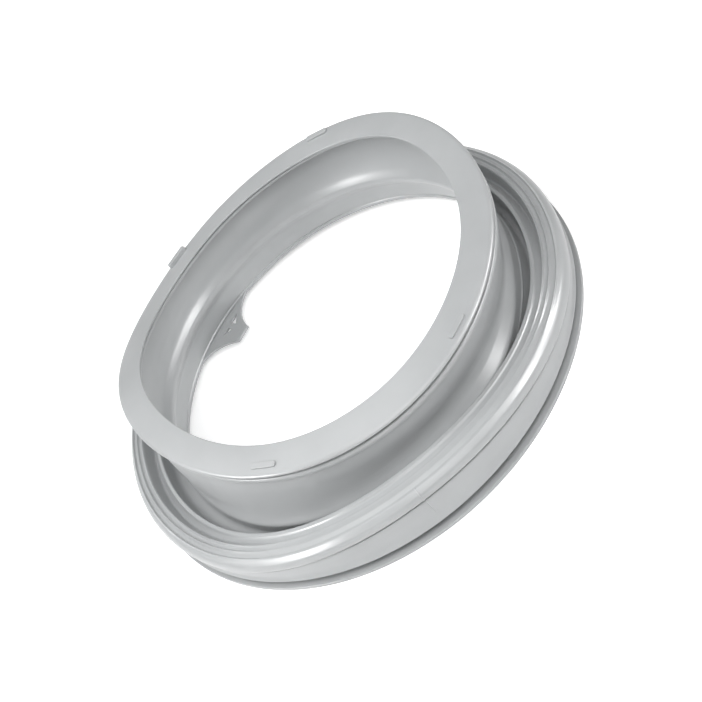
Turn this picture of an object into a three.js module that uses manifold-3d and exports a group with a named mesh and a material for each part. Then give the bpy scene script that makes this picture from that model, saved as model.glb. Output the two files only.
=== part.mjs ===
// Washing machine door seal: one moulded rubber ring.
// It stands on its rear flange, with the ring's axis along +Z and the front flange on top.
// The origin is on the axis, in the plane of the rear face. Sizes are in millimetres.
// An azimuth is counted in degrees from -Y towards +X. The mould's index line is at azimuth 0.
import * as THREE from 'three';
import Module from 'manifold-3d';
import { mergeVertices } from 'three/addons/utils/BufferGeometryUtils.js';

// Rubber
const wall = 3.2;
const edgeRound = 0.9;
const colour = 0xb4b7b9;
const roughness = 0.42;

// Rear flange, which lies on the tub, and the groove for the clamp ring
const rearRadius = 190;
const rearThickness = 3;
const clampGap = 6;
const clampDepth = 9.5;

// Outer band over the tub's rim
const bandInset = 1.8;
const bandHeight = 8;
const bandLean = 1.2;

// Roll: the outer fold of the bellows, between the band and the trough
const stepDepth = 2;
const stepHeight = 2.2;
const rollInset = 0.8;
const rollSide = 7.5;
const shoulderWidth = 5.2;
const shoulderRise = 5.2;
const ridgePitch = 5;
const ridgeHeight = 1.4;
const grooveDepth = 0.5;
const recessWidth = 11;
const recessDepth = 4.4;
const ledgeRise = 1.5;
const ledgeWidth = 2.6;

// Trough between the roll and the neck
const troughWidth = 10;
const troughFloor = 13.2;
const ledgeRound = 1;

// Neck: the inner wall, from the rear lip up to the front flange
const neckFootWall = 2;
const lipBottom = 5.2;
const lipHeight = 3.4;
const lipWidth = 4.4;
const creaseDepth = 0.8;
const creaseHeight = 1.6;
const cornerHeight = 37;
const cornerOutset = 0.6;
const pinchInset = 4.2;
const pinchRise = 8.5;
const bellyOutset = 0.3;
const bellyHeight = 65;

// Front flange: a sealing face with a bead under it, and a slot between them for the cabinet's edge
const frontHeight = 88.6;
const faceOverhang = 16.3;
const faceWidth = 22.7;
const faceRise = 3.2;
const faceThickness = 2.3;
const slotGap = 1.2;
const slotDepth = 8;
const beadHeight = 5.6;
const frontOffset = new THREE.Vector2(9, 1.3);
const lipShift = 0.25;

// Warp of the soft ring, as cosine waves: [waves round the ring, height, azimuth of a crest]
const frontWaves = [
  [1, 2.8, -115],
  [2, 7.9, -74],
  [3, 3.1, 25],
  [4, 0.9, 8],
  [5, 0.8, -22],
];
const faceTiltWaves = [
  [1, 2.5, -16],
  [2, 2.4, 28],
  [3, 0.6, -32],
];
const frontOvalWaves = [
  [2, 1.0, -28],
  [3, 1.05, 8],
];
// Near the index line the foot of the neck flares out into the trough
const footFlare = 8;
const footFlareAzimuth = -5;
const footFlareFrom = 34;
const footFlareTo = 76;
// The roll stands higher round the index line, and its recess is deeper on the far side
const rollLift = 16;
const rollLiftSpan = 68;
const recessDrop = 5.5;
const recessDropFrom = 40;
const recessDropTo = 90;

// Nozzle tab on the rear lip, with two triangular holes either side of a rib
const tabAzimuth = -148;
const tabReach = 30;
const tabTipWidth = 15.6;
const tabRootWidth = 74;
const tabThickness = 2.6;
const tabSink = 0.4;
const tabRib = 5.4;
const tabRibPlace = -4.7;
const tabHolePlace = 6.9;
const tabHoleDepth = 4.4;
const tabHoleWidth = 9;

// Raised bars on the sealing face: [azimuth, distance of the outer side from the rim, height]
const barLength = 19;
const barWidth = 4.4;
const bars = [
  [-33.5, 5.7, 1.8],
  [31, 4.7, 1.8],
  [151.5, 3, 2],
  [-151, 1.4, 3.8],
];

// Fineness
const ringSteps = 72;
const barSink = 1.5;

const degrees = Math.PI / 180;
const clamp01 = (t) => Math.min(1, Math.max(0, t));
const smooth = (t) => clamp01(t) ** 2 * (3 - 2 * clamp01(t));
const waves = (rows, azimuth) =>
  rows.reduce((sum, [count, height, crest]) => sum + height * Math.cos(count * (azimuth - crest * degrees)), 0);

// Degrees from the index line, either way
const turnFromIndex = (azimuth) => Math.abs(Math.atan2(Math.sin(azimuth), Math.cos(azimuth))) / degrees;

// How far the foot of the neck moves out and down
function flareAt(azimuth) {
  const turn = turnFromIndex(azimuth - footFlareAzimuth * degrees);
  return footFlare * smooth((footFlareTo - turn) / (footFlareTo - footFlareFrom));
}

// Raised cosine: rollLift at the index line, 0 from rollLiftSpan on either side
function liftAt(azimuth) {
  const across = clamp01(turnFromIndex(azimuth) / rollLiftSpan);
  return rollLift * Math.cos(across * Math.PI / 2) ** 2;
}

// How far the floor of the recess lies below its height at the index line
function dropAt(azimuth) {
  return recessDrop * smooth((turnFromIndex(azimuth) - recessDropFrom) / (recessDropTo - recessDropFrom));
}

// Heights and radii that follow from the driving sizes, each from the one outside it
const bandFootZ = rearThickness + clampGap;
const bandTopZ = bandFootZ + bandHeight;
const bandFootRadius = rearRadius - bandInset;
const bandTopRadius = bandFootRadius - bandLean;
const clampFloorRadius = bandFootRadius - clampDepth;
const rollFootZ = bandTopZ + stepHeight;
const rollRadius = rearRadius - rollInset;
const rollSideZ = rollFootZ + rollSide;
const crownRadius = rollRadius - shoulderWidth;
const crownZ = rollSideZ + shoulderRise;
const secondRidgeRadius = crownRadius - ridgePitch;
const firstRidgeRadius = secondRidgeRadius - ridgePitch;
const ledgeRadius = firstRidgeRadius - recessWidth;
const recessZ = crownZ - recessDepth;
const troughOuterRadius = ledgeRadius - ledgeRound;
const troughMiddle = troughOuterRadius - troughWidth / 2;
const troughInnerRadius = troughOuterRadius - troughWidth;
const throatRadius = troughInnerRadius - neckFootWall;
const cornerRadius = throatRadius + cornerOutset;
const pinchRadius = throatRadius - pinchInset;
const pinchZ = cornerHeight + pinchRise;
const bellyRadius = throatRadius + bellyOutset;
const neckMiddleRadius = (pinchRadius + bellyRadius) / 2;
const neckMiddleZ = (pinchZ + bellyHeight) / 2;
const frontInnerRadius = throatRadius - faceOverhang;
const frontRadius = frontInnerRadius + faceWidth;
const seatRadius = clampFloorRadius - wall;
const lipTopZ = lipBottom + lipHeight;
const tabBottomZ = lipTopZ - tabThickness - tabSink;
const slotTopZ = frontHeight - faceThickness;
const slotFloorZ = slotTopZ - slotGap;
const beadBottomZ = slotFloorZ - beadHeight;
const faceSlope = faceRise / faceWidth;
const riseAt = (radius) => (frontRadius - radius) * faceSlope;

// A point of the section, with its shares of what happens round the ring: shift is its share of the
// front flange's offset, front its share of the front's warp, lift its share of the roll's lift, drop
// its share of the recess's drop, and flare its share of the flare of the neck's foot
const still = (r, z) => ({ r, z, shift: 0, front: 0, lift: 0, drop: 0, flare: 0 });
const onRoll = (r, z) => ({ ...still(r, z), lift: clamp01((z - bandFootZ) / bandHeight) });
const inRecess = (r, z) => ({ ...onRoll(r, z), drop: 1 });
const onLip = (r, z) => ({ ...still(r, z), shift: lipShift });
const onNeck = (r, z, flare = 0) => {
  const front = smooth((z - cornerHeight) / (beadBottomZ - cornerHeight));
  return { ...onLip(r, z), front, flare, shift: lipShift + (1 - lipShift) * front };
};

// Rear face, rear flange, clamp groove
const rear = [
  still(seatRadius, 0),
  still(rearRadius - edgeRound, 0),
  still(rearRadius, edgeRound),
  still(rearRadius, rearThickness - edgeRound),
  still(rearRadius - edgeRound, rearThickness),
  still(clampFloorRadius, rearThickness),
  still(clampFloorRadius, bandFootZ),
];
// Band, step, roll and its three ridges, recess and ledge
const outside = [
  onRoll(bandFootRadius - edgeRound, bandFootZ),
  onRoll(bandFootRadius, bandFootZ + edgeRound),
  onRoll(bandTopRadius, bandFootZ + bandHeight * 0.6),
  onRoll(bandTopRadius, bandTopZ),
  onRoll(bandTopRadius - stepDepth, bandTopZ + stepHeight * 0.3),
  onRoll(bandTopRadius - stepDepth, bandTopZ + stepHeight * 0.7),
  onRoll(rollRadius, rollFootZ + edgeRound),
  onRoll(rollRadius, rollSideZ),
  onRoll(rollRadius - shoulderWidth * 0.35, rollSideZ + shoulderRise * 0.65),
  onRoll(crownRadius, crownZ),
  onRoll(crownRadius - ridgePitch / 2, crownZ - grooveDepth),
  onRoll(secondRidgeRadius, crownZ + ridgeHeight),
  onRoll(secondRidgeRadius - ridgePitch / 2, crownZ - grooveDepth),
  onRoll(firstRidgeRadius, crownZ + ridgeHeight),
  inRecess(firstRidgeRadius - recessWidth * 0.25, recessZ + recessDepth * 0.3),
  inRecess(firstRidgeRadius - recessWidth * 0.4, recessZ),
  onRoll(ledgeRadius + ledgeWidth, recessZ),
  onRoll(ledgeRadius + ledgeRound, recessZ + ledgeRise),
  onRoll(ledgeRadius, recessZ + ledgeRise),
  onRoll(troughOuterRadius, recessZ),
];
// Trough with a rounded floor
const trough = [
  onRoll(troughOuterRadius, troughFloor + troughWidth * 0.4),
  still(troughMiddle + troughWidth * 0.3, troughFloor + troughWidth * 0.1),
  still(troughMiddle, troughFloor),
  onLip(troughMiddle - troughWidth * 0.3, troughFloor + troughWidth * 0.1),
  onNeck(troughInnerRadius, troughFloor + troughWidth * 0.4, 0.25),
];
// Outer side of the neck, from the trough up to the bead: foot, corner, pinch and belly
const neckOutside = [
  onNeck(cornerRadius, cornerHeight - wall * 2.5, 0.6),
  onNeck(cornerRadius, cornerHeight, 1),
  onNeck(cornerRadius - pinchInset * 0.6, cornerHeight + pinchRise * 0.35, 0.8),
  onNeck(pinchRadius, pinchZ, 0.6),
  onNeck(neckMiddleRadius + wall * 0.2, neckMiddleZ, 0.25),
  onNeck(bellyRadius, bellyHeight),
  onNeck(bellyRadius + wall * 0.2, beadBottomZ - wall),
];
// Bead, slot, sealing face
const front = [
  onNeck(bellyRadius + wall * 0.6, beadBottomZ),
  onNeck(frontRadius - edgeRound * 2, beadBottomZ + edgeRound / 2),
  onNeck(frontRadius - edgeRound / 3, beadBottomZ + beadHeight * 0.45),
  onNeck(frontRadius - edgeRound, slotFloorZ),
  onNeck(frontRadius - slotDepth, slotFloorZ + riseAt(frontRadius - slotDepth)),
  onNeck(frontRadius - slotDepth, slotTopZ + riseAt(frontRadius - slotDepth)),
  onNeck(frontRadius - edgeRound, slotTopZ),
  onNeck(frontRadius, slotTopZ + faceThickness / 2),
  onNeck(frontRadius - edgeRound, frontHeight),
  onNeck(frontInnerRadius + edgeRound, frontHeight + riseAt(frontInnerRadius)),
  onNeck(frontInnerRadius, frontHeight + riseAt(frontInnerRadius) - edgeRound),
];
// Inner side of the neck, from the sealing face down to the rear lip
const neckInside = [
  onNeck(frontInnerRadius + edgeRound, frontHeight + riseAt(frontInnerRadius) - wall),
  onNeck(bellyRadius - wall * 1.5, frontHeight - wall * 1.3),
  onNeck(bellyRadius - wall, beadBottomZ - wall),
  onNeck(bellyRadius - wall, bellyHeight),
  onNeck(neckMiddleRadius - wall * 0.8, neckMiddleZ, 0.25),
  onNeck(pinchRadius - wall * 0.8, pinchZ + wall * 0.6, 0.6),
  onNeck(pinchRadius - wall * 1.3, pinchZ - wall * 0.6, 0.6),
  onNeck(pinchRadius - wall * 0.6, cornerHeight + wall * 0.5, 0.5),
  onNeck(throatRadius - creaseDepth * 2.5, cornerHeight - wall * 2, 0.2),
  onLip(throatRadius - creaseDepth / 2, cornerHeight - wall * 5),
  onLip(throatRadius, lipTopZ + creaseHeight),
  onLip(throatRadius + creaseDepth, lipTopZ + creaseHeight / 2),
  onLip(throatRadius, lipTopZ),
  onLip(throatRadius, lipBottom),
];
// Hollow behind the bellows, open to the rear: the tub's rim goes in between the seat and the fold
const hollow = [
  onLip(throatRadius + lipWidth, lipBottom),
  still(troughMiddle, troughFloor - wall),
  still(troughOuterRadius + wall, troughFloor + wall * 0.6),
  onRoll(troughOuterRadius + wall * 0.9, recessZ - wall * 1.2),
  inRecess(firstRidgeRadius - recessWidth * 0.42, recessZ - wall),
  inRecess(firstRidgeRadius - recessWidth * 0.05, recessZ - wall * 0.6),
  onRoll(firstRidgeRadius + wall * 0.6, crownZ - wall * 1.1),
  onRoll(crownRadius - wall * 0.3, crownZ - wall),
  onRoll(rollRadius - wall, rollSideZ),
  onRoll(rollRadius - wall, rollFootZ + wall * 0.6),
  onRoll(bandTopRadius - stepDepth - wall, bandTopZ + stepHeight * 0.4),
  onRoll(bandTopRadius - wall, bandTopZ - wall * 0.6),
  onRoll(bandFootRadius - wall * 1.5, bandFootZ + wall),
  still(seatRadius, bandFootZ),
];
const section = [...rear, ...outside, ...trough, ...neckOutside, ...front, ...neckInside, ...hollow];

// Where a point of the section lies at an azimuth
function place({ r, z, shift, front: frontShare, lift, drop, flare }, azimuth) {
  const inward = clamp01((frontRadius - r) / faceWidth);
  const radius = r + frontShare * waves(frontOvalWaves, azimuth) + flare * flareAt(azimuth);
  const warp = frontShare * (waves(frontWaves, azimuth) + inward * waves(faceTiltWaves, azimuth));
  return new THREE.Vector3(
    radius * Math.sin(azimuth) + shift * frontOffset.x,
    -radius * Math.cos(azimuth) + shift * frontOffset.y,
    z + warp + lift * liftAt(azimuth) - drop * dropAt(azimuth) - flare * flareAt(azimuth),
  );
}

// The section carried round the axis, closed on itself both ways
function sweptRing(outline, steps) {
  const positions = [];
  const index = [];
  const count = outline.length;
  for (let step = 0; step < steps; step += 1) {
    const azimuth = (step / steps) * 2 * Math.PI;
    outline.forEach((point) => positions.push(...place(point, azimuth).toArray()));
  }
  for (let step = 0; step < steps; step += 1) {
    const here = step * count;
    const next = ((step + 1) % steps) * count;
    for (let i = 0; i < count; i += 1) {
      const j = (i + 1) % count;
      index.push(here + i, next + i, next + j, here + i, next + j, here + j);
    }
  }
  const geometry = new THREE.BufferGeometry();
  geometry.setAttribute('position', new THREE.Float32BufferAttribute(positions, 3));
  geometry.setIndex(index);
  return geometry;
}

// Frame on the throat at an azimuth: x along the ring, y inwards, z up, origin at a height
function lipFrame(azimuth, height) {
  const along = new THREE.Vector3(Math.cos(azimuth), Math.sin(azimuth), 0);
  const inwards = new THREE.Vector3(-Math.sin(azimuth), Math.cos(azimuth), 0);
  const frame = new THREE.Matrix4().makeBasis(along, inwards, new THREE.Vector3(0, 0, 1));
  return frame.setPosition(place(still(throatRadius, height), azimuth));
}

// Nozzle tab: a flat web that narrows in two hollow curves from the lip to its square tip
function tabGeometry() {
  const root = tabRootWidth / 2;
  const tip = tabTipWidth / 2;
  const start = throatRadius - Math.sqrt(throatRadius ** 2 - root ** 2);
  const sunk = lipWidth / 2;
  const outline = new THREE.Shape();
  outline.moveTo(-root, start - sunk);
  outline.quadraticCurveTo(0, -start - sunk, root, start - sunk);
  outline.lineTo(root, start);
  outline.bezierCurveTo(root * 0.54, start + tabReach * 0.1, tip * 1.54, tabReach * 0.57, tip, tabReach);
  outline.lineTo(-tip, tabReach);
  outline.bezierCurveTo(-tip * 1.54, tabReach * 0.57, -root * 0.54, start + tabReach * 0.1, -root, start);
  const geometry = new THREE.ExtrudeGeometry(outline, {
    depth: tabThickness, bevelEnabled: false, curveSegments: 8,
  });
  return geometry.applyMatrix4(lipFrame(tabAzimuth * degrees, tabBottomZ));
}

// Triangular prism through the tab, on one side of the rib
function tabHoleGeometry(side) {
  const near = tabRibPlace + side * tabRib / 2;
  const outline = new THREE.Shape();
  outline.moveTo(near, tabHolePlace);
  outline.lineTo(near + side * tabHoleWidth, tabHolePlace);
  outline.lineTo(near, tabHolePlace + tabHoleDepth);
  const geometry = new THREE.ExtrudeGeometry(outline, {
    depth: tabThickness * 3, bevelEnabled: false,
  });
  const height = tabBottomZ - tabThickness;
  return geometry.applyMatrix4(lipFrame(tabAzimuth * degrees, height));
}

// Raised bar with round ends, sunk a little into the sealing face
function barGeometry([azimuthDegrees, fromRim, height]) {
  const azimuth = azimuthDegrees * degrees;
  const radius = frontRadius - fromRim - barWidth / 2;
  const surface = place(onNeck(radius, frontHeight + riseAt(radius)), azimuth);
  const straight = barLength / 2 - barWidth / 2;
  const outline = new THREE.Shape();
  outline.moveTo(-straight, -barWidth / 2);
  outline.lineTo(straight, -barWidth / 2);
  outline.absarc(straight, 0, barWidth / 2, -Math.PI / 2, Math.PI / 2, false);
  outline.lineTo(-straight, barWidth / 2);
  outline.absarc(-straight, 0, barWidth / 2, Math.PI / 2, Math.PI * 1.5, false);
  const geometry = new THREE.ExtrudeGeometry(outline, {
    depth: height + barSink, bevelEnabled: false, curveSegments: 4,
  });
  const step = 0.01;
  const beside = place(onNeck(radius, frontHeight + riseAt(radius)), azimuth + step);
  const inside = place(onNeck(radius - 1, frontHeight + riseAt(radius - 1)), azimuth);
  const along = beside.sub(surface).normalize();
  const inwards = inside.sub(surface);
  inwards.addScaledVector(along, -inwards.dot(along)).normalize();
  const up = new THREE.Vector3().crossVectors(along, inwards);
  const frame = new THREE.Matrix4().makeBasis(along, inwards, up);
  frame.setPosition(surface.addScaledVector(up, -barSink));
  return geometry.applyMatrix4(frame);
}

const wasm = await Module();
wasm.setup();

function solidOf(geometry) {
  const bare = geometry.clone();
  bare.deleteAttribute('normal');
  bare.deleteAttribute('uv');
  const merged = mergeVertices(bare, 1e-4);
  const mesh = new wasm.Mesh({
    numProp: 3,
    vertProperties: new Float32Array(merged.attributes.position.array),
    triVerts: new Uint32Array(merged.index.array),
  });
  return new wasm.Manifold(mesh);
}

function geometryOf(solid) {
  const mesh = solid.getMesh();
  const geometry = new THREE.BufferGeometry();
  geometry.setAttribute('position', new THREE.Float32BufferAttribute(mesh.vertProperties, 3));
  geometry.setIndex(new THREE.Uint32BufferAttribute(mesh.triVerts, 1));
  geometry.computeVertexNormals();
  return geometry;
}

let seal = solidOf(sweptRing(section, ringSteps));
seal = seal.add(solidOf(tabGeometry()));
for (const side of [-1, 1]) {
  seal = seal.subtract(solidOf(tabHoleGeometry(side)));
}
for (const bar of bars) {
  seal = seal.add(solidOf(barGeometry(bar)));
}

const rubber = new THREE.MeshStandardMaterial({ color: colour, roughness, metalness: 0 });
const doorSeal = new THREE.Mesh(geometryOf(seal), rubber);
doorSeal.name = 'door_seal';

const part = new THREE.Group();
part.name = 'washing_machine_door_seal';
part.add(doorSeal);

export default part;
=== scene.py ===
"""The looks of the washing machine door seal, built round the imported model.

Sizes are in millimetres until a mesh is made, and azimuths in degrees from -Y towards +X, with the
mould's index line at azimuth 0. The ring's axis is Z and it lies on its rear face, in the plane z = 0.
"""

import bpy
import numpy as np
from mathutils import Matrix, Vector


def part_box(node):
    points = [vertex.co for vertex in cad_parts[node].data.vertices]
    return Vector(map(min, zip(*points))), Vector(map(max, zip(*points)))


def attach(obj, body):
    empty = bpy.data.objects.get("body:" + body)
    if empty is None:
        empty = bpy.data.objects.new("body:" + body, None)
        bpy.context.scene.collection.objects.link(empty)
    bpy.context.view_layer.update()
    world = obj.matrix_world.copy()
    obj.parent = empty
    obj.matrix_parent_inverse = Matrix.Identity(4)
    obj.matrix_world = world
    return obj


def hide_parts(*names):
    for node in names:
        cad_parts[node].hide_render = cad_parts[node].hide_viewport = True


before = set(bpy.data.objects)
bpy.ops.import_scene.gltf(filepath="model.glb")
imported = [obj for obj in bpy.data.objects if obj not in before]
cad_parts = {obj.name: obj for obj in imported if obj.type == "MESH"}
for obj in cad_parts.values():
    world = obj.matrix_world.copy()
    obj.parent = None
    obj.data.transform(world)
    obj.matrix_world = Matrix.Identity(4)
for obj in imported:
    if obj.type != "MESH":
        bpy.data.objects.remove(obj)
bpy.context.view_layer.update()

MM = 0.001
DEGREES = np.pi / 180

# Driving sizes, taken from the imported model's box
seal_low, seal_high = (np.array(corner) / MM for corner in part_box("door_seal"))
rear_radius = (seal_high[0] - seal_low[0]) / 2

# Section sizes
wall = 3.2
rear_thickness = 3.0
clamp_gap = 6.0
clamp_floor_radius = rear_radius - 11.3
seat_radius = clamp_floor_radius - wall
band_foot_z = rear_thickness + clamp_gap
band_height = 8.0
band_top = band_foot_z + band_height
band_foot_radius = rear_radius - 1.8
band_radius = rear_radius - 3.1
step_radius = band_radius - 1.6
roll_radius = rear_radius - 0.5
ledge_radius = rear_radius - 26.9
trough_outer_radius = ledge_radius - 1.2
trough_inner_radius = trough_outer_radius - 9.8
trough_middle = (trough_outer_radius + trough_inner_radius) / 2
trough_floor = 13.2
throat_radius = rear_radius - 40.0
lip_bottom = 5.6
lip_top = 8.6
front_height = 88.6
front_radius = 156.4
front_inner_radius = 133.7
face_rise = 3.2
face_slope = face_rise / (front_radius - front_inner_radius)
face_thickness = 2.3
slot_gap = 3.4
slot_depth = 8.0
bead_height = 4.6
slot_top = front_height - face_thickness
slot_floor = slot_top - slot_gap
bead_bottom = slot_floor - bead_height
ridge_half_width = 1.1
ridge_depth = 1.15
ridge_crown = 0.45

# How the soft ring is warped, as cosine waves: (waves round the ring, height, azimuth of a crest)
front_waves = (
    (1, 2.8, -115),
    (2, 7.9, -74),
    (3, 3.1, 25),
    (4, 0.9, 8),
    (5, 0.8, -22),
)
face_tilt_waves = (
    (1, 2.5, -16),
    (2, 2.4, 28),
    (3, 0.6, -32),
)
front_oval_waves = (
    (2, 1.0, -28),
    (3, 1.05, 8),
)

# The front stands off the axis, and the rear lip by a share of that
front_offset = (9.0, 1.3)
lip_shift = 0.25

# The warp sets in at the neck's corner and is whole at the bead. The offset sets in a little higher.
corner_height = 37.0
shift_height = 46.0

# The roll is lifted near the index line, and its ridges fade out there
roll_lift = 16.0
roll_lift_span = 68.0
ridge_fade_from = 30.0
ridge_fade_to = 66.0
recess_drop = 5.8
recess_drop_from = 40.0
recess_drop_to = 92.0

# The neck's foot is flared near the index line, and its pinch filled at the near left
foot_flare = 8.0
flare_fall = 0.6
foot_flare_azimuth = -5.0
foot_flare_from = 34.0
foot_flare_to = 76.0
pinch_fill = 3.6
pinch_fill_azimuth = -34.0
pinch_fill_from = 22.0
pinch_fill_to = 58.0

# Nozzle tab on the rear lip, with two triangular holes either side of a rib
tab_azimuth = -148.0
tab_bottom = 5.6
tab_thickness = 2.6
tab_edge = 0.5
tab_tip = ((-6.6, 30.0), (8.4, 30.0))
tab_root = 37.0
tab_holes = (
    ((-15.0, 9.6), (-5.6, 9.3), (-6.2, 15.6)),
    ((-1.0, 10.6), (8.0, 9.8), (0.4, 14.6)),
)

# Raised bars on the sealing face: (azimuth, radius of the middle, length, width, height)
bars = (
    (-33.5, 148.5, 19.0, 4.4, 1.3),
    (31.0, 149.5, 19.0, 4.4, 1.2),
    (151.5, 151.0, 19.0, 4.6, 1.9),
    (-151.0, 152.3, 20.0, 4.6, 3.4),
)
bar_sunk = 0.6
bar_edge = 0.35
bar_corner_share = 0.35

# The mould's index line: half its width, its height, how far its sides are sunk, and which of the roll's
# corners it follows, from the band up to the first ridge
index_width = 0.7
index_height = 0.5
index_sunk = 0.06
index_first, index_last = 2, 14

# Fineness of the meshes
ring_steps = 264
corner_steps = 4
index_corner_steps = 6
index_columns = 7
tab_curve_steps = 20
bar_corner_steps = 6

# Studio lamps: (name, azimuth, elevation, distance in m, side in m, watts, seen in the gloss only)
lamps = (
    ("softbox_front", 5, 55, 1.6, 0.9, 12, False),
    ("softbox_top", -100, 72, 1.8, 1.4, 18, False),
    ("softbox_front_right", 62, 44, 1.6, 0.9, 9, False),
    ("softbox_left", -85, 28, 1.6, 0.8, 10, False),
    ("softbox_back_left", -130, 45, 1.6, 0.9, 2, False),
    ("gloss_left", -68, 27, 1.6, 0.3, 22, True),
    ("gloss_right", 63, 27, 1.6, 0.3, 18, True),
    ("gloss_far_right", 88, 27, 1.6, 0.3, 18, True),
)
lamp_target_height = 0.05
sky_strength = 0.17
floor_glow = 0.38
floor_half = 4.0


def smooth(t):
    """3t^2 - 2t^3 between 0 and 1."""
    t = np.clip(t, 0, 1)
    return t * t * (3 - 2 * t)


def waves(rows, azimuth):
    """Sum of height * cos(count * (azimuth - crest))."""
    return sum(height * np.cos(count * (azimuth - crest * DEGREES)) for count, height, crest in rows)


def away(azimuth):
    """Degrees between an azimuth and the index line, either way."""
    return np.abs(np.arctan2(np.sin(azimuth), np.cos(azimuth))) / DEGREES


def lift_at(azimuth):
    """Raised cosine: roll_lift at the index line, 0 beyond roll_lift_span degrees from it."""
    return roll_lift * np.cos(np.clip(away(azimuth) / roll_lift_span, 0, 1) * np.pi / 2) ** 2


def drop_at(azimuth):
    """How far the recess of the roll lies below its height at the index line: a smooth step."""
    return recess_drop * smooth((away(azimuth) - recess_drop_from) / (recess_drop_to - recess_drop_from))


def fill_at(azimuth):
    """How far the pinch of the neck is filled out at the near left: a smooth step."""
    turn = away(azimuth - pinch_fill_azimuth * DEGREES)
    return pinch_fill * smooth((pinch_fill_to - turn) / (pinch_fill_to - pinch_fill_from))


def flare_at(azimuth):
    """How far the neck's foot moves out and down near the index line: a smooth step."""
    turn = away(azimuth - foot_flare_azimuth * DEGREES)
    return foot_flare * smooth((foot_flare_to - turn) / (foot_flare_to - foot_flare_from))


# A point of the section is (radius, height, rounding, shift, front, lift, ridge, drop, flare, fill).
# Shift is its share of the front's offset, front of the front's warp, lift of the roll's lift, drop of
# the recess's drop, flare of the flare of the neck's foot and fill of the filled pinch. Ridge is a
# height that fades out near the index line.


def still(r, z, rounding=0.5):
    """A point that the warp leaves where it is."""
    return (r, z, rounding, 0, 0, 0, 0, 0, 0, 0)


def on_roll(r, z, rounding=0.5, share=1.0, ridge=0.0, drop=0.0):
    """A point of the roll: the lift grows evenly up the band and is whole above it."""
    lift = float(np.clip((z - band_foot_z) / band_height, 0, 1)) * share
    return (r, z, rounding, 0, 0, lift, ridge, drop, 0, 0)


def on_lip(r, z, rounding=0.5):
    """A point of the rear lip, which takes a share of the front's offset."""
    return (r, z, rounding, lip_shift, 0, 0, 0, 0, 0, 0)


def on_neck(r, z, rounding=0.5, flare=0.0, fill=0.0):
    """A point of the neck or the front: warp and offset set in as smooth steps up to the bead."""
    front = float(smooth((z - corner_height) / (bead_bottom - corner_height)))
    offset = float(smooth((z - shift_height) / (bead_bottom - shift_height)))
    return (r, z, rounding, lip_shift + (1 - lip_shift) * offset, front, 0, 0, 0, flare, fill)


def rear_outline():
    """Rear face, rear flange and clamp groove."""
    return [
        still(seat_radius, 0, 0.8),
        still(rear_radius, 0, 0.7),
        still(rear_radius, rear_thickness - 0.1, 0.7),
        still(clamp_floor_radius, rear_thickness + 0.3, 1.6),
        still(clamp_floor_radius, band_foot_z, 1.6),
    ]


def ridge_points(radius, height, share):
    """One moulded ridge of the roll, seen in section: a foot, a round top and a foot."""
    return [
        on_roll(radius + ridge_half_width, height - 0.1, 0.5, share, -ridge_depth + 0.1),
        on_roll(radius + 0.25, height, 0.4, share, ridge_crown),
        on_roll(radius - 0.25, height, 0.4, share, ridge_crown),
        on_roll(radius - ridge_half_width, height - 0.1, 0.5, share, -ridge_depth + 0.1),
    ]


def roll_outline():
    """Band, step, roll with its ridges, recess and ledge, from the clamp groove in to the trough."""
    return [
        on_roll(band_foot_radius, band_foot_z, 0.5),
        on_roll(band_foot_radius - 0.2, band_foot_z + 0.9, 0.6),
        on_roll(band_radius - 0.2, band_foot_z + 2.5, 1.4),
        on_roll(band_radius + 0.1, band_top - 0.8, 1.0),
        on_roll(band_radius, band_top, 0.45),
        on_roll(step_radius, band_top + 0.5, 0.5),
        on_roll(step_radius + 0.4, band_top + 2.6, 0.6),
        on_roll(roll_radius - 0.9, band_top + 3.1, 0.7),
        on_roll(roll_radius, band_top + 4.6, 1.6, 0.99),
        on_roll(roll_radius - 0.1, band_top + 9.6, 2.2, 0.94),
        on_roll(roll_radius - 2.4, band_top + 12.6, 1.8, 0.9),
        *ridge_points(rear_radius - 6.0, band_top + 14.9, 0.86),
        *ridge_points(rear_radius - 11.0, band_top + 16.4, 0.82),
        *ridge_points(rear_radius - 15.6, band_top + 16.6, 0.8),
        on_roll(rear_radius - 18.6, band_top + 12.0, 1.0, 0.9, 0, 1.0),
        on_roll(rear_radius - 20.0, band_top + 10.9, 1.0, 0.96, 0, 1.0),
        on_roll(ledge_radius + 3.4, band_top + 10.4, 0.8, 1.0, 0, 0.25),
        on_roll(ledge_radius + 2.2, band_top + 11.6, 0.4),
        on_roll(ledge_radius - 0.5, band_top + 12.0, 0.5),
        on_roll(ledge_radius - 1.1, band_top + 10.2, 0.6),
    ]


def trough_outline():
    """Trough between the roll and the neck, with a round floor."""
    return [
        on_roll(trough_outer_radius, trough_floor + 6.5, 2.5),
        still(trough_middle + 3.6, trough_floor + 0.8, 2.6),
        still(trough_middle, trough_floor, 1.5),
        on_lip(trough_middle - 3.6, trough_floor + 0.8, 2.6),
        on_neck(trough_inner_radius, trough_floor + 6.0, 2.5, 0.25),
    ]


def neck_outside_outline():
    """Outer side of the neck, from the trough up to the bead."""
    return [
        on_neck(trough_inner_radius - 0.6, 22.6, 0.8, 0.35),
        on_neck(trough_inner_radius + 0.1, 24.6, 0.5, 0.4),
        on_neck(trough_inner_radius - 0.8, 26.4, 0.8, 0.5),
        on_neck(throat_radius + 0.7, corner_height - 0.4, 1.6, 1.0),
        on_neck(149.0, 40.8, 2.2, 0.65, 0.15),
        on_neck(147.4, 45.0, 2.6, 0.36, 0.55),
        on_neck(148.8, 49.5, 3.0, 0.06, 0.45),
        on_neck(150.8, 56.5, 4.0),
        on_neck(152.2, 66.0, 4.5),
        on_neck(152.8, 76.0, 2.0),
    ]


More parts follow.
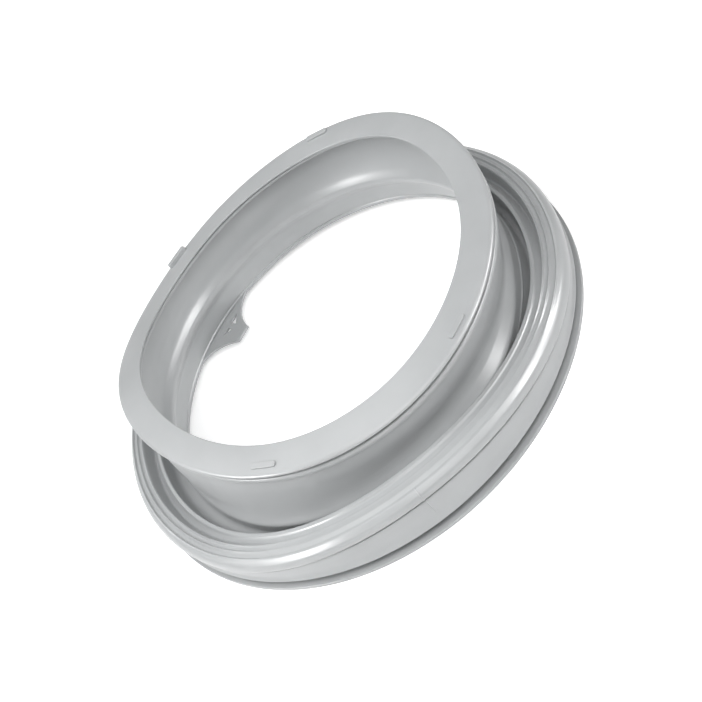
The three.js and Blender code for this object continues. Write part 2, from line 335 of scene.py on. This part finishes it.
def front_outline():
    """Bead, slot for the cabinet's edge, bevelled rim and sealing face."""
    slot_root = front_radius - slot_depth
    return [
        on_neck(153.4, bead_bottom + 0.2, 0.7),
        on_neck(front_radius - 0.9, bead_bottom, 1.5),
        on_neck(front_radius - 0.5, slot_floor, 1.6),
        on_neck(slot_root, slot_floor + face_slope * slot_depth, 0.4),
        on_neck(slot_root, slot_top + face_slope * slot_depth, 0.4),
        on_neck(front_radius, slot_top, 0.5),
        on_neck(front_radius - 0.1, front_height - 1.1, 0.8),
        on_neck(front_radius - 1.9, front_height + 0.25, 1.4),
        on_neck(front_inner_radius, front_height + face_rise, 0.7),
    ]


def neck_inside_outline():
    """Inner side of the neck: gutter and thin lip under the sealing face, wall, crest and rear lip."""
    face_inner_z = front_height + face_rise
    return [
        on_neck(front_inner_radius + 0.2, face_inner_z - 1.7, 0.5),
        on_neck(138.6, face_inner_z - 2.3, 0.4),
        on_neck(138.8, face_inner_z - 3.4, 0.4),
        on_neck(136.0, face_inner_z - 3.9, 0.6),
        on_neck(136.8, face_inner_z - 7.0, 1.4),
        on_neck(148.2, face_inner_z - 9.6, 2.6),
        on_neck(150.4, 76.0, 2.0),
        on_neck(149.4, 66.0, 4.5),
        on_neck(148.8, 54.6, 3.5, 0.1),
        on_neck(146.2, 46.6, 2.6, 0.25),
        on_neck(141.4, 39.2, 2.4, 0.4),
        on_neck(143.4, 34.0, 2.4, 0.4),
        on_neck(148.4, 27.4, 3.0, 0.2),
        on_lip(throat_radius - 0.4, 20.0, 3.5),
        on_lip(throat_radius, 10.4, 0.4),
        on_lip(throat_radius + 0.9, 9.5, 0.3),
        on_lip(throat_radius, lip_top, 0.4),
        on_lip(throat_radius, lip_bottom, 0.7),
    ]


def hollow_outline():
    """Hollow behind the bellows, open to the rear."""
    return [
        on_lip(throat_radius + 4.4, lip_bottom, 0.7),
        still(trough_middle, trough_floor - wall, 2.5),
        still(trough_outer_radius + wall, trough_floor + 2.0, 2.0),
        on_roll(trough_outer_radius + wall, band_top + 10.2 - wall, 1.2),
        on_roll(rear_radius - 20.8, band_top + 10.4 - wall, 1.0, 0.98, 0, 1.0),
        on_roll(rear_radius - 16.2, band_top + 11.0 - wall, 1.0, 0.9, 0, 1.0),
        on_roll(rear_radius - 13.8, band_top + 14.6 - wall, 1.5, 0.84),
        on_roll(rear_radius - 6.5, band_top + 14.0 - wall, 2.0, 0.86),
        on_roll(roll_radius - wall, band_top + 9.6, 2.0, 0.94),
        on_roll(roll_radius - wall, band_top + 4.4, 1.2),
        on_roll(step_radius - wall, band_top + 1.0, 0.8),
        on_roll(band_radius - wall, band_top - 2.0, 0.8),
        on_roll(band_radius - wall, band_foot_z + wall, 0.8),
        still(seat_radius, band_foot_z + 0.5, 1.0),
    ]


def rounded(corners, steps):
    """Closed outline past the corners, each cut by a parabola that leaves its two sides at the corner's
    rounding, or just under half the side if that is less: (1-t)^2 start + 2t(1-t) corner + t^2 end. The
    shares are carried along in the same way, and the rounding itself is dropped."""
    here = np.array(corners, dtype=float)
    before = np.roll(here, 1, axis=0)
    after = np.roll(here, -1, axis=0)
    keep = [0, 1, 3, 4, 5, 6, 7, 8, 9]

    def towards(other):
        side = np.linalg.norm(other[:, :2] - here[:, :2], axis=1)
        part = np.minimum(here[:, 2] / side, 0.49)[:, None]
        return here[:, keep] + (other - here)[:, keep] * part

    start, end, middle = towards(before), towards(after), here[:, keep]
    t = np.linspace(0, 1, steps)[None, :, None]
    curve = (1 - t) ** 2 * start[:, None] + 2 * t * (1 - t) * middle[:, None] + t ** 2 * end[:, None]
    return curve.reshape(-1, len(keep))


def place(point, azimuth):
    """Where points (radius, height, shift, front, lift, ridge, drop, flare, fill) lie at an azimuth.

    The radius gains the oval, the flare and the fill, each by its share. The height gains the front's
    waves, with the face's tilt growing inwards, the roll's lift and the ridge, and loses the recess's drop
    and part of the flare. Then x = radius * sin(azimuth) and y = -radius * cos(azimuth), plus the offset.
    """
    r, z, shift, front, lift, ridge, drop, flare, fill = np.moveaxis(np.asarray(point, dtype=float), -1, 0)
    inward = np.clip((front_radius - r) / (front_radius - front_inner_radius), 0, 1)
    spread = flare * flare_at(azimuth)
    radius = r + front * waves(front_oval_waves, azimuth) + spread + fill * fill_at(azimuth)
    height = z + front * (waves(front_waves, azimuth) + inward * waves(face_tilt_waves, azimuth))
    fade = smooth((away(azimuth) - ridge_fade_from) / (ridge_fade_to - ridge_fade_from))
    height = height + lift * lift_at(azimuth) + ridge * fade - drop * drop_at(azimuth)
    height = height - spread * flare_fall
    x = radius * np.sin(azimuth) + shift * front_offset[0]
    y = -radius * np.cos(azimuth) + shift * front_offset[1]
    return np.stack(np.broadcast_arrays(x, y, height), axis=-1)


def mesh_object(name, points, faces):
    """A smooth mesh in metres from an array of points in millimetres and an array of faces."""
    mesh = bpy.data.meshes.new(name)
    mesh.from_pydata((points * MM).tolist(), [], faces.tolist())
    mesh.update()
    mesh.shade_smooth()
    piece = bpy.data.objects.new(name, mesh)
    bpy.context.scene.collection.objects.link(piece)
    return piece


def torus_faces(rows, columns):
    """Quads of a grid that closes on itself both ways."""
    i, j = np.meshgrid(np.arange(rows), np.arange(columns), indexing="ij")
    i2, j2 = (i + 1) % rows, (j + 1) % columns
    quads = np.stack([i * columns + j, i2 * columns + j, i2 * columns + j2, i * columns + j2], axis=-1)
    return quads.reshape(-1, 4)


def seal_ring():
    """The section carried round the axis: point(s, azimuth) = place(section(s), azimuth)."""
    corners = [
        *rear_outline(), *roll_outline(), *trough_outline(), *neck_outside_outline(),
        *front_outline(), *neck_inside_outline(), *hollow_outline(),
    ]
    section = rounded(corners, corner_steps)
    azimuth = np.arange(ring_steps)[:, None] * 2 * np.pi / ring_steps
    points = place(section[None], azimuth).reshape(-1, 3)
    return mesh_object("seal_ring", points, torus_faces(ring_steps, len(section)))


def lip_frame(azimuth, height):
    """Frame on the throat at an azimuth: x along the ring, y inwards, z up."""
    turn = azimuth * DEGREES
    along = (np.cos(turn), np.sin(turn), 0)
    inwards = (-np.sin(turn), np.cos(turn), 0)
    origin = (throat_radius * np.sin(turn), -throat_radius * np.cos(turn), height)
    return np.array(origin), np.array([along, inwards, (0, 0, 1)])


def bezier(start, first, second, end, steps):
    """Cubic curve: (1-t)^3 a + 3 t (1-t)^2 b + 3 t^2 (1-t) c + t^3 d."""
    t = np.linspace(0, 1, steps)[:, None]
    a, b, c, d = (np.array(point, dtype=float) for point in (start, first, second, end))
    return (1 - t) ** 3 * a + 3 * t * (1 - t) ** 2 * b + 3 * t * t * (1 - t) * c + t ** 3 * d


def plate(name, loops, thickness, rounding, origin, axes):
    """A flat plate: the first loop is its outline and the others are holes. It is filled as a curve with
    a round edge, and then set on a frame."""
    curve = bpy.data.curves.new(name, "CURVE")
    curve.dimensions = "2D"
    curve.fill_mode = "BOTH"
    curve.extrude = thickness / 2 - rounding
    curve.bevel_depth = rounding
    curve.bevel_resolution = 3
    curve.offset = -rounding
    for loop in loops:
        spline = curve.splines.new("POLY")
        spline.points.add(len(loop) - 1)
        for point, (x, y) in zip(spline.points, loop):
            point.co = (x, y, 0, 1)
        spline.use_cyclic_u = True
    holder = bpy.data.objects.new(name, curve)
    bpy.context.scene.collection.objects.link(holder)
    bpy.context.view_layer.update()
    flat = bpy.data.meshes.new_from_object(holder)
    bpy.data.objects.remove(holder)
    count = len(flat.vertices)
    local = np.empty(count * 3)
    flat.vertices.foreach_get("co", local)
    local = local.reshape(-1, 3) + (0, 0, thickness / 2)
    flat.vertices.foreach_set("co", ((origin + local @ axes) * MM).ravel())
    flat.update()
    flat.shade_smooth()
    piece = bpy.data.objects.new(name, flat)
    bpy.context.scene.collection.objects.link(piece)
    return piece


def nozzle_tab():
    """Flat web that narrows in two hollow curves from the lip to a square tip."""
    start = throat_radius - np.sqrt(throat_radius ** 2 - tab_root ** 2)
    (left, tip), (right, _) = tab_tip
    outer = np.concatenate([
        [(-tab_root, start - 2.2), (tab_root, start - 2.2)],
        bezier((tab_root, start), (tab_root * 0.54, start + 3), (right + 5, tip * 0.57), (right, tip),
               tab_curve_steps),
        bezier((left, tip), (left - 4, tip * 0.57), (-tab_root * 0.54, start + 3), (-tab_root, start),
               tab_curve_steps),
    ])
    origin, axes = lip_frame(tab_azimuth, tab_bottom)
    return plate("nozzle_tab", [outer, *tab_holes], tab_thickness, tab_edge, origin, axes)


def face_frame(azimuth, radius):
    """Frame on the sealing face: x along the ring, y inwards up the slope, z out of the face."""
    def spot(r, turn):
        z = front_height + (front_radius - r) * face_slope
        return place((r, z, 1, 1, 0, 0, 0, 0, 0), turn * DEGREES)

    origin = spot(radius, azimuth)
    along = spot(radius, azimuth + 0.5) - origin
    along /= np.linalg.norm(along)
    inwards = spot(radius - 1, azimuth) - origin
    inwards -= along * (inwards @ along)
    inwards /= np.linalg.norm(inwards)
    return origin, np.array([along, inwards, np.cross(along, inwards)])


def raised_bar(number, azimuth, radius, length, width, height):
    """Pad with round corners on the sealing face, sunk a little into it."""
    corner = width * bar_corner_share
    turn = np.linspace(0, np.pi / 2, bar_corner_steps)
    loop = []
    for quarter, (x, y) in enumerate(((1, -1), (1, 1), (-1, 1), (-1, -1))):
        angle = turn + (quarter - 1) * np.pi / 2
        centre = np.array([x * (length / 2 - corner), y * (width / 2 - corner)])
        loop.append(centre + corner * np.stack([np.cos(angle), np.sin(angle)], axis=-1))
    origin, axes = face_frame(azimuth, radius)
    return plate("raised_bar_%d" % number, [np.concatenate(loop)], height + bar_sunk, bar_edge,
                 origin - axes[2] * bar_sunk, axes)


def index_line():
    """Fine raised line of the mould at azimuth 0: point(s, across) = surface(s) + outward normal times
    index_height * sqrt(1 - across^2), less a little so that its sides are sunk."""
    path = rounded(roll_outline()[index_first:index_last], index_corner_steps)
    across = np.linspace(-1, 1, index_columns)
    turn = across[None, :] * index_width / rear_radius
    middle = place(path[:, None], turn)
    step = np.gradient(middle[:, 3], axis=0)
    out = np.stack([np.zeros(len(step)), step[:, 2], -step[:, 1]], axis=-1)
    out /= -np.linalg.norm(out, axis=1)[:, None]
    rise = index_height * np.sqrt(np.clip(1 - across ** 2, 0, 1)) - index_sunk
    points = middle + out[:, None] * rise[None, :, None]
    rows, columns = points.shape[:2]
    i, j = np.meshgrid(np.arange(rows - 1), np.arange(columns - 1), indexing="ij")
    corner = i * columns + j
    faces = np.stack([corner, corner + columns, corner + columns + 1, corner + 1], axis=-1).reshape(-1, 4)
    return mesh_object("index_line", points.reshape(-1, 3), faces)


def srgb(code):
    """Linear red, green, blue and alpha of an sRGB hex value."""
    value = np.array([int(code[i:i + 2], 16) for i in (1, 3, 5)]) / 255
    linear = np.where(value <= 0.04045, value / 12.92, ((value + 0.055) / 1.055) ** 2.4)
    return (*linear.tolist(), 1.0)


def add(material, kind, settings=(), links=()):
    """Adds a node with its settings, and links from (node, output) to its inputs."""
    node = material.node_tree.nodes.new(kind)
    for key, value in dict(settings).items():
        if isinstance(key, str) and hasattr(node, key):
            setattr(node, key, value)
        else:
            node.inputs[key].default_value = value
    for key, (source, output) in dict(links).items():
        material.node_tree.links.new(source.outputs[output], node.inputs[key])
    return node


def moulded_rubber():
    """Light grey EPDM rubber, compression moulded: an even satin skin that the mould's blasted steel
    leaves very slightly dimpled, with faint paler bloom in places."""
    material = bpy.data.materials.new("moulded_rubber")
    material.use_nodes = True
    material.node_tree.nodes.clear()
    place_on = add(material, "ShaderNodeTexCoord")
    bloom = add(material, "ShaderNodeTexNoise",
                {"Scale": 22.0, "Detail": 3.0, "Roughness": 0.55}, {"Vector": (place_on, "Object")})
    tone = add(material, "ShaderNodeValToRGB", {}, {"Fac": (bloom, "Fac")})
    tone.color_ramp.elements[0].position = 0.3
    tone.color_ramp.elements[0].color = srgb("#a1a3a4")
    tone.color_ramp.elements[1].position = 0.7
    tone.color_ramp.elements[1].color = srgb("#a7a9aa")
    gloss = add(material, "ShaderNodeMapRange",
                {"From Min": 0.3, "From Max": 0.7, "To Min": 0.3, "To Max": 0.34},
                {"Value": (bloom, "Fac")})
    grain = add(material, "ShaderNodeTexNoise",
                {"Scale": 900.0, "Detail": 2.0, "Roughness": 0.5}, {"Vector": (place_on, "Object")})
    skin = add(material, "ShaderNodeBump",
               {"Strength": 0.12, "Distance": 0.0002}, {"Height": (grain, "Fac")})
    shader = add(material, "ShaderNodeBsdfPrincipled",
                 {"IOR": 1.5, "Metallic": 0.0},
                 {"Base Color": (tone, "Color"), "Roughness": (gloss, "Result"),
                  "Normal": (skin, "Normal")})
    add(material, "ShaderNodeOutputMaterial", {}, {"Surface": (shader, "BSDF")})
    return material


def pale_floor():
    """Matt white studio paper, lit a little from behind."""
    material = bpy.data.materials.new("studio_paper")
    material.use_nodes = True
    material.node_tree.nodes.clear()
    shader = add(material, "ShaderNodeBsdfPrincipled",
                 {"Base Color": srgb("#f2f2f2"), "Roughness": 1.0, "Specular IOR Level": 0.0,
                  "Emission Color": (1, 1, 1, 1), "Emission Strength": floor_glow})
    add(material, "ShaderNodeOutputMaterial", {}, {"Surface": (shader, "BSDF")})
    return material


def set_camera():
    """The photograph's view: right, up and back are the camera's own axes in the seal's frame."""
    focal_pixels = 1630
    photo_pixels = 702
    place_mm = (143.87, -910.50, 820.82)
    right = (0.783, -0.342, -0.5195)
    up = (0.6115, 0.5759, 0.5426)
    back = (0.1136, -0.7425, 0.6601)
    data = bpy.data.cameras.new("camera")
    data.sensor_width = 36.0
    data.lens = focal_pixels / photo_pixels * data.sensor_width
    data.clip_end = 100
    camera = bpy.data.objects.new("camera", data)
    bpy.context.scene.collection.objects.link(camera)
    turn = Matrix([list(row) for row in zip(right, up, back)]).to_4x4()
    camera.matrix_world = Matrix.Translation([v * MM for v in place_mm]) @ turn
    bpy.context.scene.camera = camera


def softbox(name, azimuth, elevation, distance, size, watts, gloss_only):
    """A square area light that looks at the middle of the seal, at a distance and a size in metres."""
    data = bpy.data.lights.new(name, "AREA")
    data.size = size
    data.energy = watts
    light = bpy.data.objects.new(name, data)
    bpy.context.scene.collection.objects.link(light)
    turn, rise = azimuth * DEGREES, elevation * DEGREES
    away_from = Vector((np.sin(turn) * np.cos(rise), -np.cos(turn) * np.cos(rise), np.sin(rise)))
    light.location = away_from * distance + Vector((0, 0, lamp_target_height))
    light.rotation_euler = away_from.to_track_quat("Z", "Y").to_euler()
    light.visible_diffuse = not gloss_only


def studio():
    """Pale floor, white surroundings that light the seal only faintly, and the lamps."""
    corners = np.array([(-1, -1, 0), (1, -1, 0), (1, 1, 0), (-1, 1, 0)])
    floor = mesh_object("studio_floor", corners * floor_half / MM, np.array([[0, 1, 2, 3]]))
    floor.data.materials.append(pale_floor())
    world = bpy.data.worlds.new("studio")
    bpy.context.scene.world = world
    world.use_nodes = True
    backdrop = world.node_tree.nodes["Background"]
    backdrop.inputs["Color"].default_value = (1, 1, 1, 1)
    rays = add(world, "ShaderNodeLightPath")
    strength = add(world, "ShaderNodeMapRange",
                   {"To Min": sky_strength, "To Max": 1.0}, {"Value": (rays, "Is Camera Ray")})
    world.node_tree.links.new(strength.outputs["Result"], backdrop.inputs["Strength"])
    for lamp in lamps:
        softbox(*lamp)
    bpy.context.scene.view_settings.view_transform = "Standard"


set_camera()
studio()
rubber = moulded_rubber()
pieces = [seal_ring(), nozzle_tab(), index_line()]
pieces += [raised_bar(number, *row) for number, row in enumerate(bars, 1)]
for piece in pieces:
    piece.data.materials.append(rubber)
    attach(piece, "root")
    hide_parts("door_seal")
